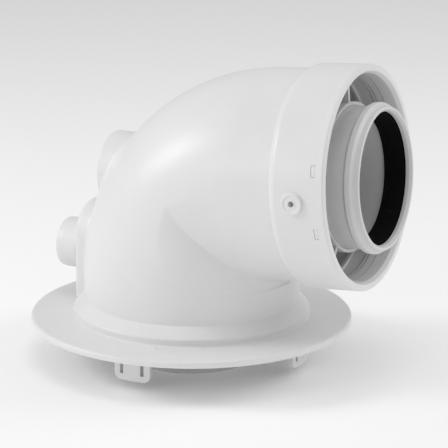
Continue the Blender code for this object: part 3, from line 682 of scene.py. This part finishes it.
def make_flue_seal():
    outer, body = BEAD_GROOVE_RADIUS - GAP, FLUE_SOCKET_BORE - GAP
    start, end = BEAD[0] + 0.0011, BEAD[1] - 0.0011
    return revolve("flue_seal", [
        (body, start, 0.0003), (outer, start, 0.0004), (outer, end, 0.0004), (body, end, 0.0003),
        (LIP_RADIUS + 0.0012, end, 0.0006), (LIP_RADIUS + 0.0008, end - 0.0040, 0.0015),
        (LIP_RADIUS, LIP_START, 0.0003), (LIP_RADIUS + 0.0012, LIP_START, 0.0004),
        (body - 0.0006, start - 0.0030, 0.0015)], ALONG_OUTLET)


def make_duct_seal():
    outer = POCKET_RADIUS - GAP
    start, end = POCKET_START + GAP, SKIRT_START - GAP
    return revolve("duct_seal", [
        (SOCKET_BORE, start, 0.0003), (outer, start, 0.0003), (outer, end, 0.0003),
        (SOCKET_BORE, end, 0.0003),
        (SOCKET_BORE - 0.0013, start + 0.0032, 0.0004), (SOCKET_BORE - 0.0002, start + 0.0026, 0.0003),
        (SOCKET_BORE - 0.0013, start + 0.0012, 0.0004)], ALONG_OUTLET)


def make_cap():
    front, back = -CAP_FRONT, -CAP_BACK
    floor = NOZZLE_BACK + 0.0021
    pad = -PAD_BACK
    dish = back - CAP_DISH_DEPTH
    ridge_start, ridge_end = front + 0.0020, back - 0.0040

    def ridged(turn, radius, position):
        if radius < CAP_RADIUS - 0.0001 or not ridge_start <= position <= ridge_end:
            return radius
        return radius - CAP_RIDGE_DEPTH * (0.5 - 0.5 * math.cos(CAP_RIDGES * turn)) ** 4

    wall = [(CAP_RADIUS, ridge_start + (ridge_end - ridge_start) * step / 12) for step in range(13)]
    return revolve("cap", [
        (NOZZLE_RADIUS + 0.0030, front, 0.0003), (CAP_RADIUS - 0.0004, front, 0.0005),
        (CAP_RADIUS - 0.0004, ridge_start - 0.0006)] + wall + [
        (CAP_RADIUS - 0.0002, ridge_end + 0.0006), (CAP_RADIUS - 0.0002, back, 0.0022),
        (CAP_DISH_RADIUS, back, 0.0006), (CAP_DISH_RADIUS - CAP_DISH_DEPTH, dish, 0.0006), (0, dish),
        (0, floor), (NOZZLE_RADIUS + GAP, floor), (NOZZLE_RADIUS + GAP, pad + 0.0030, 0.0003),
        (NOZZLE_RADIUS + 0.0030, pad + 0.0030)], along_back(AIR_TEST_HEIGHT), CAP_ROUND, ridged)


def make_nozzle():
    pad, tip = -PAD_BACK, NOZZLE_BACK
    shoulder = NOZZLE_RADIUS + NOZZLE_SHOULDER
    thread = []
    first, last = pad + 0.0045, tip - 0.0012
    pitch = (last - first) / THREAD_TURNS
    for number in range(THREAD_TURNS):
        low = first + pitch * number
        thread += [(NOZZLE_RADIUS - THREAD_DEPTH, low, 0.0002), (NOZZLE_RADIUS, low + 0.45 * pitch, 0.0002),
                   (NOZZLE_RADIUS, low + 0.55 * pitch, 0.0002)]
    return revolve("nozzle", [
        (NOZZLE_BORE, NOZZLE_START), (NOZZLE_RADIUS, NOZZLE_START), (NOZZLE_RADIUS, pad + GAP),
        (shoulder, pad + GAP, 0.0002), (shoulder, pad + NOZZLE_SHOULDER, 0.0004),
        (NOZZLE_RADIUS, pad + NOZZLE_SHOULDER, 0.0004)] + thread + [
        (NOZZLE_RADIUS, tip, 0.0005), (NOZZLE_BORE, tip, 0.0004)], along_back(AIR_TEST_HEIGHT), SMALL_ROUND)


def make_plug():
    seat = -BOSS_BACK - PLUG_DEPTH
    face, top, end = -BOSS_BACK - PLUG_SUNK, seat + PLUG_HEAD_GAP, seat - PLUG_STEM
    dish = face - 0.0004
    stem = FLUE_NOZZLE_BORE - GAP
    plug = revolve("plug", [
        (0, face), (0, end), (stem, end, 0.0006), (stem, top, 0.0003), (PLUG_RADIUS, top, 0.0003),
        (PLUG_RADIUS, face, 0.0007), (PLUG_RIM, face, 0.0004), (PLUG_RIM - 0.0005, dish, 0.0004),
        (0, dish)], along_back(PLUG_HEIGHT), SMALL_ROUND)
    slot = rounded_block("plug_slot", PLUG_SLOT,
                         along_back(PLUG_HEIGHT) @ Matrix.Translation((0, 0, face)), 0.0003)
    return cut(plug, slot)


# Materials

CLOUD_SCALE = 26.0           # noise scales, in features per metre
STREAK_SCALE = 150.0
PEBBLE_SCALE = 420.0
FINE_SCALE = 1500.0
STREAK_STRETCH = 0.22        # squeezes the noise up the piece, which draws the flow marks out


def node(tree, kind, **settings):
    item = tree.nodes.new("ShaderNode" + kind)
    for name, value in settings.items():
        setattr(item, name, value)
    return item


def noise(tree, coords, scale, detail):
    item = node(tree, "TexNoise")
    item.inputs["Scale"].default_value = scale
    item.inputs["Detail"].default_value = detail
    item.inputs["Roughness"].default_value = 0.55
    tree.links.new(coords, item.inputs["Vector"])
    return item


def spread(tree, value, low, high, start=0.3, end=0.7):
    """A value between start and end spread to run from low to high."""
    item = node(tree, "MapRange")
    for name, number in (("From Min", start), ("From Max", end), ("To Min", low), ("To Max", high)):
        item.inputs[name].default_value = number
    tree.links.new(value, item.inputs["Value"])
    return item.outputs["Result"]


def moulded(name, colour, roughness, specular, tone=0.02, texture=0.000012, flow=0.5):
    """A moulded plastic or rubber: cloudy tone, faint flow marks, fine surface texture, and convex edges
    lightened as a painted highlight with rubbed wear.
    """
    material = bpy.data.materials.new(name)
    material.use_nodes = True
    tree = material.node_tree
    shader = tree.nodes["Principled BSDF"]
    shader.inputs["Specular IOR Level"].default_value = specular
    coords = node(tree, "TexCoord").outputs["Object"]
    stretch = node(tree, "Mapping")
    stretch.inputs["Scale"].default_value = (1.0, 1.0, STREAK_STRETCH)
    tree.links.new(coords, stretch.inputs["Vector"])
    cloud = noise(tree, coords, CLOUD_SCALE, 4.0)
    streak = noise(tree, stretch.outputs["Vector"], STREAK_SCALE, 3.0)
    fine = noise(tree, coords, FINE_SCALE, 2.0)
    pebble = noise(tree, coords, PEBBLE_SCALE, 2.0)

    tint = node(tree, "Mix", data_type="RGBA", blend_type="MIX")
    tint.inputs[6].default_value = (*[channel * (1 - tone) for channel in colour], 1)
    tint.inputs[7].default_value = (*[min(channel * (1 + tone), 1) for channel in colour], 1)
    blend = node(tree, "Math", operation="MULTIPLY_ADD")
    tree.links.new(spread(tree, streak.outputs["Fac"], 0, 0.5 * flow), blend.inputs[0])
    blend.inputs[1].default_value = 1.0
    tree.links.new(spread(tree, cloud.outputs["Fac"], 0, 0.75), blend.inputs[2])
    tree.links.new(blend.outputs[0], tint.inputs[0])
    # Painted highlight: convex edges, picked out by pointiness, are mixed towards a lighter copy of the
    # colour, standing for edge highlights together with rubbed wear.
    edge = node(tree, "NewGeometry")
    highlit_worn_edge = node(tree, "Mix", data_type="RGBA", blend_type="MIX")
    tree.links.new(spread(tree, edge.outputs["Pointiness"], 0, 0.6, 0.53, 0.62), highlit_worn_edge.inputs[0])
    tree.links.new(tint.outputs[2], highlit_worn_edge.inputs[6])
    highlit_worn_edge.inputs[7].default_value = (*[min(channel * 1.04 + 0.01, 1) for channel in colour], 1)
    tree.links.new(highlit_worn_edge.outputs[2], shader.inputs["Base Color"])

    rough = node(tree, "Math", operation="ADD")
    tree.links.new(spread(tree, cloud.outputs["Fac"], roughness - 0.04, roughness + 0.03), rough.inputs[0])
    tree.links.new(spread(tree, fine.outputs["Fac"], -0.02, 0.03), rough.inputs[1])
    tree.links.new(rough.outputs[0], shader.inputs["Roughness"])

    height = node(tree, "Math", operation="ADD")
    tree.links.new(spread(tree, fine.outputs["Fac"], 0, texture), height.inputs[0])
    tree.links.new(spread(tree, pebble.outputs["Fac"], 0, 2.5 * texture), height.inputs[1])
    bump = node(tree, "Bump")
    bump.inputs["Strength"].default_value = 1.0
    bump.inputs["Distance"].default_value = 1.0
    tree.links.new(height.outputs[0], bump.inputs["Height"])
    tree.links.new(bump.outputs["Normal"], shader.inputs["Normal"])
    return material


def finish_piece(piece, material, slot, body, *nodes):
    """Gives the piece its material, ties it to its body, and has it stand for these CAD nodes."""
    piece.data.materials.clear()
    piece.data.materials.append(material)
    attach(piece, body)
    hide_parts(*nodes)


white = moulded("white_plastic", (0.80, 0.80, 0.80), 0.36, 0.45)
flue_white = moulded("flue_plastic", (0.70, 0.70, 0.70), 0.40, 0.40, tone=0.025)
black = moulded("black_rubber", (0.004, 0.004, 0.0045), 0.66, 0.08, tone=0.15, texture=0.00002)
grey = moulded("grey_rubber", (0.55, 0.555, 0.56), 0.60, 0.25, tone=0.05, texture=0.00002)

for piece in make_duct():
    finish_piece(piece, white, "white_plastic", "elbow", "air_duct_elbow")
for piece in make_flange():
    finish_piece(piece, white, "white_plastic", "elbow", "mounting_flange")
for piece in make_collar():
    finish_piece(piece, white, "white_plastic", "elbow", "socket_collar")
for piece in make_retainer():
    finish_piece(piece, white, "white_plastic", "elbow", "seal_retainer_ring")
for piece in make_flue():
    finish_piece(piece, flue_white, "flue_plastic", "elbow", "flue_elbow")
finish_piece(make_flue_seal(), black, "black_rubber", "elbow", "flue_lip_seal")
finish_piece(make_duct_seal(), grey, "grey_rubber", "elbow", "air_duct_seal")
finish_piece(make_nozzle(), white, "white_plastic", "elbow", "air_test_nozzle")
finish_piece(make_cap(), white, "white_plastic", "air_test_cap", "air_test_cap")
finish_piece(make_plug(), white, "white_plastic", "flue_test_plug", "flue_test_plug")

KEPT = {"flange_gasket": black, "hub_seal_ring": black, "collar_seal_ring": black,
        "air_test_seal_ring": black, "flue_test_seal_ring": black, "outlet_spacer": flue_white,
        "base_spacer": flue_white, "flue_test_nozzle": flue_white}
for name, material in KEPT.items():
    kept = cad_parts[name]
    kept.data.materials.clear()
    kept.data.materials.append(material)
    soften = kept.modifiers.new("edges", "BEVEL")
    soften.width, soften.segments, soften.limit_method = 0.0003, 2, "ANGLE"
    soften.angle_limit = math.radians(40)


# Studio and camera

FLOOR_SIZE = 6.0             # half the floor's side
LIGHT_TARGET = (0.02, 0, 0.08)
CAMERA_TARGET = (0.023183, -0.000451, 0.065066)
CAMERA_ANGLES = (26.926, 14.896, 0.425)      # azimuth, elevation and roll, in degrees
CAMERA_DISTANCE = 1.2
CAMERA_LENS = 152.17
CAMERA_SENSOR = 36.0


def make_floor():
    bm = bmesh.new()
    bmesh.ops.create_grid(bm, x_segments=8, y_segments=8, size=FLOOR_SIZE)
    bmesh.ops.translate(bm, verts=bm.verts, vec=(0, 0, CAD_BOX[0][2] - 0.0002))
    floor = add_object("floor", bm, weighted=False)
    material = bpy.data.materials.new("studio_floor")
    material.use_nodes = True
    tree = material.node_tree
    shader = tree.nodes["Principled BSDF"]
    shader.inputs["Roughness"].default_value = 0.9
    shader.inputs["Specular IOR Level"].default_value = 0.1
    shader.inputs["Emission Color"].default_value = (1, 1, 1, 1)
    shader.inputs["Emission Strength"].default_value = 0.15
    coords = node(tree, "TexCoord").outputs["Object"]
    cloud = noise(tree, coords, 2.0, 2.0)
    tint = node(tree, "Mix", data_type="RGBA", blend_type="MIX")
    tint.inputs[6].default_value = (0.86, 0.86, 0.86, 1)
    tint.inputs[7].default_value = (0.88, 0.88, 0.88, 1)
    tree.links.new(cloud.outputs["Fac"], tint.inputs[0])
    tree.links.new(tint.outputs[2], shader.inputs["Base Color"])
    floor.data.materials.append(material)


def add_light(name, azimuth, elevation, distance, size, power):
    """A square soft light that faces the object; azimuth 0 is in front, towards -Y, and 90 towards +X."""
    light = bpy.data.lights.new(name, "AREA")
    light.shape, light.size, light.energy = "SQUARE", size, power
    holder = bpy.data.objects.new(name, light)
    bpy.context.scene.collection.objects.link(holder)
    turn, rise = math.radians(azimuth), math.radians(elevation)
    away = Vector((math.sin(turn) * math.cos(rise), -math.cos(turn) * math.cos(rise), math.sin(rise)))
    holder.location = Vector(LIGHT_TARGET) + away * distance
    holder.rotation_euler = away.to_track_quat("Z", "Y").to_euler()


def make_studio():
    world = bpy.data.worlds.new("studio")
    world.use_nodes = True
    back = world.node_tree.nodes["Background"]
    back.inputs["Color"].default_value = (1, 1, 1, 1)
    back.inputs["Strength"].default_value = 0.49
    bpy.context.scene.world = world
    add_light("key", -62, 27, 1.6, 0.45, 7.2)
    add_light("front", -27, 17, 1.6, 0.35, 1.6)
    add_light("right", 120, 30, 1.6, 0.7, 5.2)
    add_light("top", 20, 78, 1.6, 0.9, 5.0)
    bpy.context.scene.view_settings.view_transform = "Standard"


def make_camera():
    azimuth, elevation, roll = (math.radians(value) for value in CAMERA_ANGLES)
    back = Vector((math.sin(azimuth) * math.cos(elevation), -math.cos(azimuth) * math.cos(elevation),
                   math.sin(elevation)))
    level = Vector((math.cos(azimuth), math.sin(azimuth), 0))
    upward = back.cross(level)
    right = math.cos(roll) * level + math.sin(roll) * upward
    upward = -math.sin(roll) * level + math.cos(roll) * upward
    lens = bpy.data.cameras.new("camera")
    lens.sensor_width, lens.lens = CAMERA_SENSOR, CAMERA_LENS
    lens.clip_start, lens.clip_end = 0.02, 50
    camera = bpy.data.objects.new("camera", lens)
    bpy.context.scene.collection.objects.link(camera)
    place = Matrix((right, upward, back)).transposed().to_4x4()
    place.translation = Vector(CAMERA_TARGET) + back * CAMERA_DISTANCE
    camera.matrix_world = place
    bpy.context.scene.camera = camera


make_floor()
make_studio()
make_camera()
